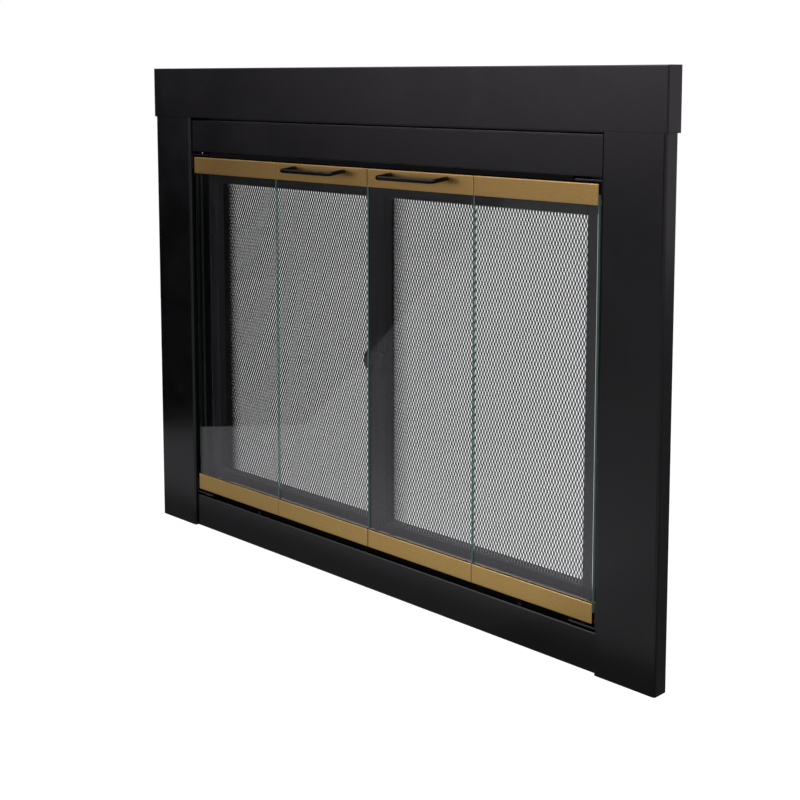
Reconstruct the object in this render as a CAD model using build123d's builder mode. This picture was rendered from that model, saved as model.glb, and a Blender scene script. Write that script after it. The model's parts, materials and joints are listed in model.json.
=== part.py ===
from build123d import *
from math import floor, hypot
import os

# Folding glass doors with mesh gates behind them, in a folded steel frame for a fireplace.
# X runs to the viewer's right, Y back into the fireplace and Z up, in millimetres.
# The hearth is z = 0, the wall that the frame lies on is y = 0 and the middle is x = 0.
# Each piece is drawn in the right half and mirrored for the left half.

# Frame as a whole
overall_width = 1117.6
overall_height = 838.2
frame_depth = 28.4
sheet = 1.2
bend_radius = 2.0

# Hood, jambs, lintel panel and bottom rail
hood_height = 87.4
hood_side_gap = 2.0
jamb_width = 101.2
wall_flange = 15.0
stop_width = 24.4
stop_clearance = 2.3
jamb_lip = 9.0
jamb_bend = 4.0
panel_setback = 5.0
panel_end_gap = 0.3
shadow_gap = 4.5
lintel_height = 57.2
lintel_hem = 20.0
lintel_return = 25.0
lintel_drop = 34.6
rail_height = 58.6
rail_upstand = 30.9
lip_edge = 8.0
tab_depth = 18.0
tab_inset = 8.0

# Glass panels and their trim bars
bar_setback = 4.4
bar_height = 28.6
bar_wall = 1.2
bar_edge = 0.9
top_bar_gap = 8.8
bottom_bar_gap = 11.3
side_bar_gap = 7.2
fold_gap = 1.0
meeting_gap = 1.8
glass_thickness = 5.0
glass_inset = 0.8
glass_seat = 13.6
gasket_thickness = 1.1
gasket_recess = 0.4

# Pivot pins, guide pins, brackets and guide track
pin_radius = 2.5
pin_overhang = 16.2
pin_head_height = 4.0
pin_head_play = 0.2
pin_tip = 1.5
collar_radius = 4.5
collar_lift = 0.5
guide_collar = 1.2
bracket_thickness = 2.5
bracket_depth = 15.0
bracket_reach = 24.0
bracket_tab = 24.0
track_wall = 0.8
track_play = 0.3
track_clearance = 2.2
track_end_gap = 3.0
track_tab_length = 16.0
track_tab_width = 10.0

# Fold hinges
leaf_width = 24.0
leaf_thickness = 1.2
leaf_margin = 2.3
leaf_relief = 0.6
barrel_radius = 3.0
barrel_lift = 0.5
barrel_gap = 0.4
hinge_pin_radius = 1.5
hinge_pin_head = 1.0

# Pull handles
handle_spacing = 118.0
handle_standoff = 33.0
handle_drop = 3.4
handle_radius = 3.3
handle_bend = 8.0
handle_screw_radius = 1.8
handle_screw_head_radius = 3.2
handle_screw_head_height = 2.2
handle_screw_depth = 7.0

# Mesh gates
gate_gap = 3.0
gate_side_gap = 1.0
gate_meeting_gap = 1.5
gate_face = 17.0
gate_depth = 20.0
gate_wall = 1.5
gate_pin_radius = 3.0
gate_pin_tip = 4.0
gate_collar_radius = 5.0
gate_block_height = 15.0
mesh_recess = 3.0
mesh_thickness = 2.2
mesh_pitch_x = 26.0
mesh_pitch_z = 50.0
mesh_strand = 3.0
mesh_border = 6.0
pull_height = 373.0
pull_length = 30.0
pull_width = 19.0
pull_thickness = 6.0
pull_round = 2.0
pull_margin = 0.4
pull_neck_radius = 5.0
pull_neck = 5.2
rivet_radius = 2.5
rivet_head_radius = 4.5
rivet_head_height = 2.0

# Screws, lintel clamps and floor brackets
screw_radius = 2.0
screw_length = 5.0
screw_head_radius = 4.0
screw_head = 2.5
fit_clearance = 0.05
strap = 3.0
strap_bend = 4.5
clamp_spacing = 500.0
clamp_width = 25.0
clamp_reach = 112.0
clamp_rise = 55.0
clamp_foot = 10.0
clamp_slot = 50.0
bolt_radius = 3.0
bolt_head_radius = 5.0
bolt_head = 3.5
bolt_length = 18.0
nut_radius = 5.77
nut_height = 5.0
floor_bracket_spacing = 600.0
floor_bracket_width = 30.0
floor_bracket_reach = 70.0
floor_bracket_rise = 85.0
anchor_y = 45.0
anchor_radius = 3.5
anchor_screw_pitch = 14.0
anchor_screw_drop = 9.0

# Planes and heights that follow from the sizes
hood_side = overall_width / 2
hood_bottom = overall_height - hood_height
jamb_outer = hood_side - sheet - hood_side_gap
jamb_front = -frame_depth
jamb_top = overall_height - sheet
opening_half = jamb_outer - jamb_width
panel_front = jamb_front + panel_setback
panel_half = opening_half - panel_end_gap
lintel_top = hood_bottom - shadow_gap
lintel_bottom = lintel_top - lintel_height
bar_front = jamb_front + bar_setback
bar_depth = glass_thickness + 2 * (gasket_thickness + bar_wall)
bar_middle = bar_front + bar_depth / 2
bar_back = bar_front + bar_depth
bar_top = lintel_bottom - top_bar_gap
bar_bottom = rail_height + bottom_bar_gap
bar_outer = opening_half - side_bar_gap
top_bar_low = bar_top - bar_height
fold_x = bar_outer / 2
fold_y = bar_back + barrel_lift + barrel_radius
pivot_x = bar_outer - pin_overhang
guide_x = 2 * fold_x - pivot_x
glass_low = bar_bottom + bar_height - glass_seat
glass_high = top_bar_low + glass_seat
stop_front = bar_middle + hypot(pin_overhang, bar_depth / 2) + stop_clearance
stop_inner = opening_half - stop_width
stop_high = lintel_bottom - lintel_drop
stop_low = rail_height + rail_upstand
screw_y = (jamb_front + stop_front) / 2
upper_plate = bar_top + (top_bar_gap - bracket_thickness) / 2
lower_plate = rail_height + (bottom_bar_gap - bracket_thickness) / 2
track_half = pivot_x - bracket_reach - track_end_gap
track_low = bar_top + track_clearance
track_slot = pin_radius + track_play
track_back = bar_middle + track_slot + track_wall
track_screw_y = track_back + track_tab_width / 2
handle_x = (meeting_gap / 2 + fold_x - fold_gap / 2) / 2
handle_z = glass_high + gasket_thickness + handle_screw_head_radius + collar_lift + handle_drop
gate_front = stop_front + sheet
gate_outer = stop_inner - gate_side_gap
gate_inner = gate_meeting_gap / 2
gate_low = stop_low + gate_gap
gate_high = stop_high - gate_gap
window_outer = gate_outer - gate_face
window_inner = gate_inner + gate_face
window_low = gate_low + gate_face
window_high = gate_high - gate_face
gate_block = gate_face - 2 * gate_wall
gate_pin_x = gate_outer - gate_wall - gate_block / 2
gate_pin_y = gate_front + gate_wall + gate_block / 2
lip_back = gate_pin_y + lip_edge
clamp_x = clamp_spacing / 2
clamp_low = lintel_bottom + sheet
bolt_y = (bar_back + stop_front) / 2
floor_bracket_x = floor_bracket_spacing / 2
pull_x = gate_inner + pull_margin + pull_width / 2
pull_back = gate_front - pull_neck

# Where the screws sit
lintel_screws = [lintel_bottom + 2 * tab_inset, lintel_top - 2 * tab_inset]
rail_screws = [2 * tab_inset, rail_height - 2 * tab_inset]
upper_bracket_screw = upper_plate - bracket_tab / 2
lower_bracket_screw = lower_plate + bracket_thickness + bracket_tab / 2
jamb_screws = lintel_screws + rail_screws + [upper_bracket_screw, lower_bracket_screw]
track_screws = [track_tab_length / 2 - track_half, 0, track_half - track_tab_length / 2]
anchor_screws = [stop_low - anchor_screw_drop, stop_low - anchor_screw_drop - anchor_screw_pitch]

UP = (Align.CENTER, Align.CENTER, Align.MIN)
DOWN = (Align.CENTER, Align.CENTER, Align.MAX)
ALONG_X = (0, 90, 0)
ALONG_Y = (90, 0, 0)

os.makedirs("parts", exist_ok=True)


def save(part, name):
    """Write one piece under its own name."""
    part.label = name
    export_step(part, f"parts/{name}.step")


def save_pair(part, name):
    """Write a piece of the right half and its mirror image in the left half."""
    save(part, f"right_{name}")
    save(mirror(part, about=Plane.YZ), f"left_{name}")


def span(x, y, z, mode=Mode.ADD):
    """Box between two limits along each axis, in the part that is open."""
    with Locations(((x[0] + x[1]) / 2, (y[0] + y[1]) / 2, (z[0] + z[1]) / 2)):
        Box(abs(x[1] - x[0]), abs(y[1] - y[0]), abs(z[1] - z[0]), mode=mode)


def cut(x, y, z):
    """Take a box between two limits along each axis out of the part that is open."""
    span(x, y, z, Mode.SUBTRACT)


def drill(points, radius, depth, rotation=(0, 0, 0)):
    """Round holes centred on the points, through the part that is open."""
    with Locations(*points):
        Cylinder(radius, depth, rotation=rotation, mode=Mode.SUBTRACT)


def folded(points, side, thickness=sheet, radius=bend_radius):
    """Outline of a strip folded along the points, in the sketch that is open."""
    with BuildLine() as strip:
        FilletPolyline(*points, radius=radius)
        offset(amount=thickness, side=side)
    make_face(strip.edges())


def turned(x, y, steps):
    """Upright turned pin: each step has a radius and the heights of its two ends."""
    for radius, low, high in steps:
        with Locations((x, y, low)):
            Cylinder(radius, high - low, align=UP)


def screw(origin, direction):
    """Pan-head screw seated at the origin with its shank along the direction."""
    with Locations(Plane(origin, z_dir=direction)):
        Cylinder(screw_radius, screw_length, align=UP)
        Cylinder(screw_head_radius, screw_head, align=DOWN)


# Hood: a cover that is open below and behind and sits on the tops of the jambs
with BuildPart() as hood:
    span((-hood_side, hood_side), (jamb_front - sheet, 0), (hood_bottom, overall_height))
    front_edges = hood.edges().filter_by(Axis.Y, reverse=True).group_by(Axis.Y)[0]
    fillet(front_edges.sort_by(Axis.Z)[1:], bend_radius)
    cut((sheet - hood_side, hood_side - sheet), (jamb_front, sheet), (hood_bottom - sheet, jamb_top))
save(hood.part, "hood")

# Jambs: channel with a flange on the wall and a stop flange behind the glass
with BuildPart() as jamb:
    with BuildSketch():
        folded([(jamb_outer - wall_flange, 0), (jamb_outer, 0), (jamb_outer, jamb_front),
                (opening_half, jamb_front), (opening_half, stop_front), (stop_inner, stop_front),
                (stop_inner, stop_front + jamb_lip)], Side.RIGHT, radius=jamb_bend)
    extrude(amount=jamb_top)
    for low, high in [(0, stop_low + panel_end_gap), (stop_high - panel_end_gap, jamb_top)]:
        cut((stop_inner - sheet, opening_half), (screw_y, stop_front + 2 * jamb_lip), (low, high))
    drill([(opening_half, screw_y, z) for z in jamb_screws],
          screw_radius + fit_clearance, 4 * sheet, ALONG_X)
save_pair(jamb.part, "jamb")

# Lintel panel: upturned return that closes the gap under the hood, hem, front face, ledge under it,
# drop flange and the lip for the upper gate pins
with BuildPart() as lintel_panel:
    with BuildSketch(Plane.YZ.offset(-panel_half)):
        folded([(panel_front + lintel_hem, lintel_top + lintel_return),
                (panel_front + lintel_hem, lintel_top), (panel_front, lintel_top),
                (panel_front, lintel_bottom), (stop_front, lintel_bottom),
                (stop_front, stop_high), (lip_back, stop_high)], Side.LEFT)
    extrude(amount=2 * panel_half)
    for x in [(-panel_half, sheet - panel_half), (panel_half - sheet, panel_half)]:
        span(x, (panel_front + sheet / 2, panel_front + tab_depth),
             (lintel_bottom + tab_inset, lintel_top - tab_inset))
    drill([(x, screw_y, z) for x in (-panel_half, panel_half) for z in lintel_screws],
          screw_radius + fit_clearance, 4 * sheet, ALONG_X)
    drill([(x, track_screw_y, lintel_bottom) for x in track_screws],
          screw_radius + fit_clearance, 4 * sheet)
    drill([(x, bolt_y, lintel_bottom) for x in (-clamp_x, clamp_x)],
          bolt_radius + fit_clearance, 4 * sheet)
    drill([(x, gate_pin_y, stop_high) for x in (-gate_pin_x, gate_pin_x)],
          gate_pin_radius + fit_clearance, 4 * sheet)
save(lintel_panel.part, "lintel_panel")

# Bottom rail: flange on the hearth, front face, ledge, upstand and the lip for the lower gate pins
with BuildPart() as bottom_rail:
    with BuildSketch(Plane.YZ.offset(-panel_half)):
        folded([(stop_front + sheet, 0), (panel_front, 0), (panel_front, rail_height),
                (stop_front, rail_height), (stop_front, stop_low), (lip_back, stop_low)],
               Side.RIGHT)
    extrude(amount=2 * panel_half)
    for x in [(-panel_half, sheet - panel_half), (panel_half - sheet, panel_half)]:
        span(x, (panel_front + sheet / 2, panel_front + tab_depth),
             (tab_inset, rail_height - tab_inset))
    drill([(x, screw_y, z) for x in (-panel_half, panel_half) for z in rail_screws],
          screw_radius + fit_clearance, 4 * sheet, ALONG_X)
    drill([(x, stop_front, z) for x in (-floor_bracket_x, floor_bracket_x) for z in anchor_screws],
          screw_radius + fit_clearance, 4 * sheet, ALONG_Y)
    drill([(x, gate_pin_y, stop_low) for x in (-gate_pin_x, gate_pin_x)],
          gate_pin_radius + fit_clearance, 4 * sheet)
save(bottom_rail.part, "bottom_rail")

# Guide track: channel under the lintel panel, open below, with tabs behind it for its screws
with BuildPart() as guide_track:
    span((-track_half, track_half), (bar_middle - track_slot - track_wall, track_back),
         (track_low, lintel_bottom))
    cut((-track_half, track_half), (bar_middle - track_slot, bar_middle + track_slot),
        (track_low, lintel_bottom - track_wall))
    for x in track_screws:
        span((x - track_tab_length / 2, x + track_tab_length / 2),
             (track_back, track_back + track_tab_width), (lintel_bottom - track_wall, lintel_bottom))
    drill([(x, track_screw_y, lintel_bottom) for x in track_screws],
          screw_radius + fit_clearance, 4 * track_wall)
save(guide_track.part, "guide_track")


def pivot_bracket(plate_low, tab, screw_z):
    """Bent bracket on the jamb: a level plate that takes a pivot pin, and a tab for its screw."""
    with BuildPart() as bracket:
        depth = (bar_front, bar_front + bracket_depth)
        span((pivot_x - bracket_reach, opening_half), depth, (plate_low, plate_low + bracket_thickness))
        span((opening_half - bracket_thickness, opening_half), depth, tab)
        drill([(pivot_x, bar_middle, plate_low)], pin_radius + fit_clearance, 4 * bracket_thickness)
        drill([(opening_half, screw_y, screw_z)], screw_radius + fit_clearance,
              4 * bracket_thickness, ALONG_X)
    return bracket.part


save_pair(pivot_bracket(upper_plate, (upper_plate - bracket_tab, upper_plate + bracket_thickness),
                        upper_bracket_screw), "upper_pivot_bracket")
save_pair(pivot_bracket(lower_plate, (lower_plate, lower_plate + bracket_thickness + bracket_tab),
                        lower_bracket_screw), "lower_pivot_bracket")

# Frame screws: through the jambs, up into the track and through the upstand of the bottom rail
with BuildPart() as frame_screws:
    for x in (-1, 1):
        for z in jamb_screws:
            screw((x * (opening_half + sheet), screw_y, z), (-x, 0, 0))
        for z in anchor_screws:
            screw((x * floor_bracket_x, stop_front, z), (0, 1, 0))
    for x in track_screws:
        screw((x, track_screw_y, lintel_bottom + sheet), (0, 0, -1))
save(frame_screws.part, "frame_screws")

# Lintel clamps: straps that reach back over the masonry and turn up behind it
with BuildPart() as lintel_clamp:
    with BuildSketch(Plane.YZ.offset(clamp_x - clamp_width / 2)):
        folded([(bolt_y - clamp_foot, clamp_low), (clamp_reach, clamp_low),
                (clamp_reach, clamp_low + clamp_rise)], Side.LEFT, strap, strap_bend)
    extrude(amount=clamp_width)
    with BuildSketch(Plane.XY.offset(clamp_low)):
        with Locations((clamp_x, bolt_y - bolt_radius - fit_clearance + clamp_slot / 2)):
            SlotOverall(clamp_slot, 2 * (bolt_radius + fit_clearance), rotation=90)
    extrude(amount=strap, mode=Mode.SUBTRACT)
save_pair(lintel_clamp.part, "lintel_clamp")

# Lintel clamp bolts: head under the ledge of the lintel panel and nut on the strap
with BuildPart() as lintel_clamp_bolts:
    for x in (-clamp_x, clamp_x):
        turned(x, bolt_y, [(bolt_head_radius, lintel_bottom - bolt_head, lintel_bottom),
                           (bolt_radius, lintel_bottom, lintel_bottom + bolt_length)])
    with BuildSketch(Plane.XY.offset(clamp_low + strap)):
        with Locations((-clamp_x, bolt_y), (clamp_x, bolt_y)):
            RegularPolygon(nut_radius, 6)
            Circle(bolt_radius + fit_clearance, mode=Mode.SUBTRACT)
    extrude(amount=nut_height)
save(lintel_clamp_bolts.part, "lintel_clamp_bolts")

# Floor brackets: behind the upstand of the bottom rail and back along the hearth
with BuildPart() as floor_bracket:
    with BuildSketch(Plane.YZ.offset(floor_bracket_x - floor_bracket_width / 2)):
        folded([(stop_front + sheet, floor_bracket_rise), (stop_front + sheet, 0),
                (floor_bracket_reach, 0)], Side.LEFT, strap, strap_bend)
    extrude(amount=floor_bracket_width)
    drill([(floor_bracket_x, anchor_y, 0)], anchor_radius, 4 * strap)
    drill([(floor_bracket_x, stop_front, z) for z in anchor_screws],
          screw_radius + fit_clearance, 4 * strap, ALONG_Y)
save_pair(floor_bracket.part, "floor_bracket")


def trim_bar(x, low, mouth, pins, screws):
    """Channel that holds an edge of the glass: mouth is 1 if it opens upward and -1 if downward."""
    middle = low + bar_height / 2
    web = middle - mouth * bar_height / 2
    with BuildPart() as bar:
        span(x, (bar_front, bar_back), (low, low + bar_height))
        long_edges = bar.edges().filter_by(Axis.X)
        fillet([edge for edge in long_edges if mouth * (edge.center().Z - middle) < 0], bar_edge)
        cut(x, (bar_front + bar_wall, bar_back - bar_wall),
            (web + mouth * bar_wall, web + mouth * (bar_height + bar_wall)))
        if pins:
            drill([(pin, bar_middle, web) for pin in pins], pin_radius + fit_clearance, 4 * bar_wall)
        if screws:
            drill([(screw_x, bar_front, handle_z) for screw_x in screws],
                  handle_screw_radius + fit_clearance, 4 * bar_wall, ALONG_Y)
    return bar.part


def glass_panel(x):
    """Pane between a top bar and a bottom bar."""
    with BuildPart() as pane:
        span((x[0] + glass_inset, x[1] - glass_inset),
             (bar_middle - glass_thickness / 2, bar_middle + glass_thickness / 2),
             (glass_low, glass_high))
    return pane.part


def gaskets(x):
    """Channels of soft packing between the pane and its two bars."""
    across = glass_thickness / 2 + gasket_thickness
    ends = (x[0] + glass_inset, x[1] - glass_inset)
    with BuildPart() as packing:
        span(ends, (bar_middle - across, bar_middle + across),
             (top_bar_low + gasket_recess, glass_high + gasket_thickness))
        span(ends, (bar_middle - across, bar_middle + across),
             (glass_low - gasket_thickness, bar_bottom + bar_height - gasket_recess))
        cut(ends, (bar_middle - glass_thickness / 2, bar_middle + glass_thickness / 2),
            (glass_low, glass_high))
    return packing.part


def hinge_leaves(side):
    """Leaves on the backs of two bars: side is 1 on the outer panel and -1 on the inner panel."""
    height = bar_height - 2 * leaf_margin
    third = height / 3
    root = fold_x + side * (barrel_radius + leaf_relief)
    back = (bar_back, bar_back + leaf_thickness)
    knuckles = {1: [(0, third - barrel_gap / 2), (2 * third + barrel_gap / 2, height)],
                -1: [(third + barrel_gap / 2, 2 * third - barrel_gap / 2)]}
    with BuildPart() as leaves:
        for low in (bar_bottom + leaf_margin, top_bar_low + leaf_margin):
            span((root, fold_x + side * leaf_width), back, (low, low + height))
            for start, end in knuckles[side]:
                span((fold_x, root), back, (low + start, low + end))
                with Locations((fold_x, fold_y, low + start)):
                    Cylinder(barrel_radius, end - start, align=UP)
                span((fold_x, fold_x + side * barrel_radius), (bar_back, fold_y),
                     (low + start, low + end))
        drill([(fold_x, fold_y, overall_height / 2)], hinge_pin_radius + fit_clearance, overall_height)
    return leaves.part


# Folding doors: the outer panel turns on its pivot pins and the inner panel is guided by the track
outer = (fold_x + fold_gap / 2, bar_outer)
inner = (meeting_gap / 2, fold_x - fold_gap / 2)
handle_ends = [handle_x - handle_spacing / 2, handle_x + handle_spacing / 2]

save_pair(glass_panel(outer), "outer_glass")
save_pair(trim_bar(outer, top_bar_low, -1, [pivot_x], []), "outer_top_bar")
save_pair(trim_bar(outer, bar_bottom, 1, [pivot_x], []), "outer_bottom_bar")
save_pair(gaskets(outer), "outer_gaskets")
save_pair(hinge_leaves(1), "outer_hinge_leaves")
save_pair(glass_panel(inner), "inner_glass")
save_pair(trim_bar(inner, top_bar_low, -1, [guide_x], handle_ends), "inner_top_bar")
save_pair(trim_bar(inner, bar_bottom, 1, [], []), "inner_bottom_bar")
save_pair(gaskets(inner), "inner_gaskets")
save_pair(hinge_leaves(-1), "inner_hinge_leaves")

pin_head_radius = bar_depth / 2 - bar_wall - pin_head_play
top_web = bar_top - bar_wall
bottom_web = bar_bottom + bar_wall

# Pivot pins: head inside the bar, collar outside it and a tip through the bracket
with BuildPart() as pivot_pins:
    turned(pivot_x, bar_middle, [(pin_head_radius, top_web - pin_head_height, top_web),
                                 (pin_radius, top_web, upper_plate + bracket_thickness + pin_tip),
                                 (collar_radius, bar_top, upper_plate - collar_lift)])
    turned(pivot_x, bar_middle, [(pin_head_radius, bottom_web, bottom_web + pin_head_height),
                                 (pin_radius, lower_plate - pin_tip, bottom_web),
                                 (collar_radius, lower_plate + bracket_thickness, bar_bottom)])
save_pair(pivot_pins.part, "outer_pivot_pins")

# Guide pin: head inside the bar, collar on the bar and a tip that runs in the track
with BuildPart() as guide_pin:
    turned(guide_x, bar_middle, [(pin_head_radius, top_web - pin_head_height, top_web),
                                 (pin_radius, top_web, lintel_bottom - track_wall - pin_tip),
                                 (collar_radius, bar_top, bar_top + guide_collar)])
save_pair(guide_pin.part, "inner_guide_pin")

# Hinge pins: through the knuckles of both leaves, with the head on top
with BuildPart() as hinge_pins:
    for low in (bar_bottom + leaf_margin, top_bar_low + leaf_margin):
        high = low + bar_height - 2 * leaf_margin
        turned(fold_x, fold_y, [(hinge_pin_radius, low, high),
                                (barrel_radius - barrel_lift, high, high + hinge_pin_head)])
save_pair(hinge_pins.part, "outer_hinge_pins")

# Pull handles: bent rod that slopes down from its two feet on the front of the inner top bar
with BuildPart() as handle:
    reach = hypot(handle_standoff, handle_drop)
    slope = Plane((0, bar_front, handle_z), x_dir=(1, 0, 0), z_dir=(0, -handle_drop, handle_standoff))
    with BuildLine(slope):
        FilletPolyline((handle_ends[0], handle_radius), (handle_ends[0], -reach),
                       (handle_ends[1], -reach), (handle_ends[1], handle_radius), radius=handle_bend)
    with BuildSketch(Plane(slope.from_local_coords((handle_ends[0], handle_radius, 0)),
                           z_dir=-slope.y_dir)):
        Circle(handle_radius)
    sweep()
    cut((0, 2 * handle_ends[1]), (bar_front, bar_front + 2 * handle_radius),
        (handle_z - 2 * handle_radius, handle_z + 2 * handle_radius))
    drill([(x, bar_front, handle_z) for x in handle_ends], handle_screw_radius + fit_clearance,
          2 * handle_screw_depth, ALONG_Y)
save_pair(handle.part, "inner_handle")

# Handle screws: head inside the bar and shank in the foot of the handle
with BuildPart() as handle_screws:
    for x in handle_ends:
        with Locations(Plane((x, bar_front + bar_wall, handle_z), z_dir=(0, -1, 0))):
            Cylinder(handle_screw_radius, bar_wall + handle_screw_depth - collar_lift, align=UP)
            Cylinder(handle_screw_head_radius, handle_screw_head_height, align=DOWN)
save_pair(handle_screws.part, "inner_handle_screws")

# Mesh gates: angle-section stiles and rails with the mesh inside them
with BuildPart() as hinge_stile:
    with BuildSketch(Plane.XY.offset(gate_low)):
        folded([(gate_outer, gate_front), (window_outer, gate_front),
                (window_outer, gate_front + gate_depth)], Side.RIGHT, gate_wall)
    extrude(amount=gate_high - gate_low)
save_pair(hinge_stile.part, "gate_hinge_stile")

with BuildPart() as meeting_stile:
    with BuildSketch(Plane.XY.offset(gate_low)):
        folded([(gate_inner, gate_front), (window_inner, gate_front),
                (window_inner, gate_front + gate_depth)], Side.LEFT, gate_wall)
    extrude(amount=gate_high - gate_low)
    drill([(pull_x, gate_front, pull_height)], rivet_radius + fit_clearance, 4 * gate_wall, ALONG_Y)
save_pair(meeting_stile.part, "gate_meeting_stile")

with BuildPart() as gate_top_rail:
    with BuildSketch(Plane.YZ.offset(window_inner)):
        folded([(gate_front, gate_high), (gate_front, window_high),
                (gate_front + gate_depth, window_high)], Side.LEFT, gate_wall)
    extrude(amount=window_outer - window_inner)
save_pair(gate_top_rail.part, "gate_top_rail")

with BuildPart() as gate_bottom_rail:
    with BuildSketch(Plane.YZ.offset(window_inner)):
        folded([(gate_front, gate_low), (gate_front, window_low),
                (gate_front + gate_depth, window_low)], Side.RIGHT, gate_wall)
    extrude(amount=window_outer - window_inner)
save_pair(gate_bottom_rail.part, "gate_bottom_rail")

# Mesh: staggered diamonds in one sheet
with BuildPart() as gate_mesh:
    width = window_outer - window_inner
    height = window_high - window_low
    columns = floor((width - 2 * mesh_border) / mesh_pitch_x)
    rows = floor((height - 2 * mesh_border) / mesh_pitch_z)
    half_x = mesh_pitch_x / 2
    half_z = mesh_pitch_z / 2
    opened = 1 - mesh_strand * hypot(half_x, half_z) / (2 * half_x * half_z)
    diamond = [(half_x * opened, 0), (0, half_z * opened), (-half_x * opened, 0), (0, -half_z * opened)]
    middle = ((window_outer + window_inner) / 2, gate_front + mesh_recess, (window_high + window_low) / 2)
    with BuildSketch(Plane(middle, x_dir=(1, 0, 0), z_dir=(0, -1, 0))):
        Rectangle(width, height)
        with GridLocations(mesh_pitch_x, mesh_pitch_z, columns, rows):
            Polygon(*diamond, mode=Mode.SUBTRACT)
        with GridLocations(mesh_pitch_x, mesh_pitch_z, columns - 1, rows - 1):
            Polygon(*diamond, mode=Mode.SUBTRACT)
    extrude(amount=-mesh_thickness)
save_pair(gate_mesh.part, "gate_mesh")

# Gate pivots: a block at each end of the hinge stile with a pin into the lip beyond it
with BuildPart() as gate_pivots:
    block_x = (gate_pin_x - gate_block / 2, gate_pin_x + gate_block / 2)
    block_y = (gate_pin_y - gate_block / 2, gate_pin_y + gate_block / 2)
    span(block_x, block_y, (gate_high - gate_block_height, gate_high))
    span(block_x, block_y, (gate_low, gate_low + gate_block_height))
    fillet(gate_pivots.edges().filter_by(Axis.Z), bend_radius)
    turned(gate_pin_x, gate_pin_y, [(gate_pin_radius, gate_high, stop_high + sheet + gate_pin_tip),
                                    (gate_pin_radius, stop_low - sheet - gate_pin_tip, gate_low),
                                    (gate_collar_radius, stop_low, gate_low)])
save_pair(gate_pivots.part, "gate_pivots")

# Gate pulls: oval grip on a neck, riveted through the meeting stile
with BuildPart() as gate_pull:
    with BuildSketch(Plane((pull_x, pull_back, pull_height), x_dir=(0, 0, 1), z_dir=(0, -1, 0))):
        SlotOverall(pull_length, pull_width)
    extrude(amount=pull_thickness)
    fillet(gate_pull.edges().group_by(Axis.Y)[0], pull_round)
    with Locations(Plane((pull_x, gate_front, pull_height), z_dir=(0, 1, 0))):
        Cylinder(pull_neck_radius, pull_neck, align=DOWN)
        Cylinder(rivet_radius, gate_wall + rivet_head_height, align=UP)
    with Locations(Plane((pull_x, gate_front + gate_wall, pull_height), z_dir=(0, 1, 0))):
        Cylinder(rivet_head_radius, rivet_head_height, align=UP)
save_pair(gate_pull.part, "gate_pull")
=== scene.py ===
import json
import math

import bpy
from bpy.props import FloatProperty, FloatVectorProperty, PointerProperty
from bpy.types import Operator, Panel, PropertyGroup
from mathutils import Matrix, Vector


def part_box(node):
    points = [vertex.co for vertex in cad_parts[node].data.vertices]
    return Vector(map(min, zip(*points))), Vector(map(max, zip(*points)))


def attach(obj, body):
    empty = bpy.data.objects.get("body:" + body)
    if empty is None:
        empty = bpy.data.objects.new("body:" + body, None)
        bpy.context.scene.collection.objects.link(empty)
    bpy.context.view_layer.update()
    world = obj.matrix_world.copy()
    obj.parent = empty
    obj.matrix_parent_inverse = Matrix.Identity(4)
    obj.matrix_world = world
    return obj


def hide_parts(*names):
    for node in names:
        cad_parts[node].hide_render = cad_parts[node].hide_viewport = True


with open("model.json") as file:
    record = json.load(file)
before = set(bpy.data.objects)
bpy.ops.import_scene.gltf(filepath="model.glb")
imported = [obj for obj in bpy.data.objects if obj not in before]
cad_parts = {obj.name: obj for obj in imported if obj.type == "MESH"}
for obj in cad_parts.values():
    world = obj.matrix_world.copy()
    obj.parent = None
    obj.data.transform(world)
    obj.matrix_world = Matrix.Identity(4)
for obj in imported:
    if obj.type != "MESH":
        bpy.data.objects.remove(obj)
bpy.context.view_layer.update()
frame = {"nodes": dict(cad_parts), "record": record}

bl_info = {
    "name": "Fireplace Door Set",
    "version": (1, 0, 0),
    "blender": (4, 5, 0),
    "location": "View3D > Sidebar > Fireplace",
    "description": "Glass panes, gate nets and finishes for a framed fireplace door set",
    "category": "Object",
}

SIDES = ("left", "right")
LEAVES = ("outer", "inner")

WHITE = (1.0, 1.0, 1.0)

# Sockets of a Mix node that mixes colours
MIX_FACTOR, MIX_FIRST, MIX_SECOND, MIX_RESULT = 0, 6, 7, 2

# A rubbed corner is this many times lighter than the coat or plate around it. On the coats the
# lighter corner is also a painted highlight.
RUBBED_AND_SHEEN_COAT = 4.0
RUBBED_ZINC = 1.5

# Brush marks are this many times finer along X, Y and Z than plain noise
LONG_MARKS = (14.0, 1500.0, 1500.0)
SHORT_MARKS = (380.0, 1400.0, 1400.0)

# The two broad faces of a pane have at least this share of their normal along Y
BROAD_FACE = 0.98

# A square cell's diagonal is this many times its side
DIAGONAL = math.sqrt(2)

# Fewer turns than these still count as looking straight on. Reaching the room itself adds one.
SURFACE_TURNS = 0.5
ROOM_TURNS = 1.5

# Corners of the floor in metres, with a notch in its left side
FLOOR_OUTLINE = ((-4.6, -5.75), (4.5, -5.75), (4.5, 3.5),
                 (-2.81, 3.5), (-2.81, 1.615), (-0.865, -0.641))

# Painted light and shade of the floor in reflections: where it changes, in metres along X or Y, and
# its share of light. It has a painted shadow under the doors, painted shade towards the front and a
# painted pool of light near the middle.
FOOT_Y, FOOT_SHADOW_SHARE = (-0.18, -0.07), 0.34
FRONT_Y = (-0.90, -0.25)
FRONT_X, FRONT_SHADE_SHARES = (-1.70, -0.60), (0.62, 0.75)
MIDDLE_X, MIDDLE_GLOW_SHARE = (-0.62, 0.0), 1.43
RIGHT_X, RIGHT_SHADE_SHARE = (0.20, 0.32), 0.7

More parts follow.
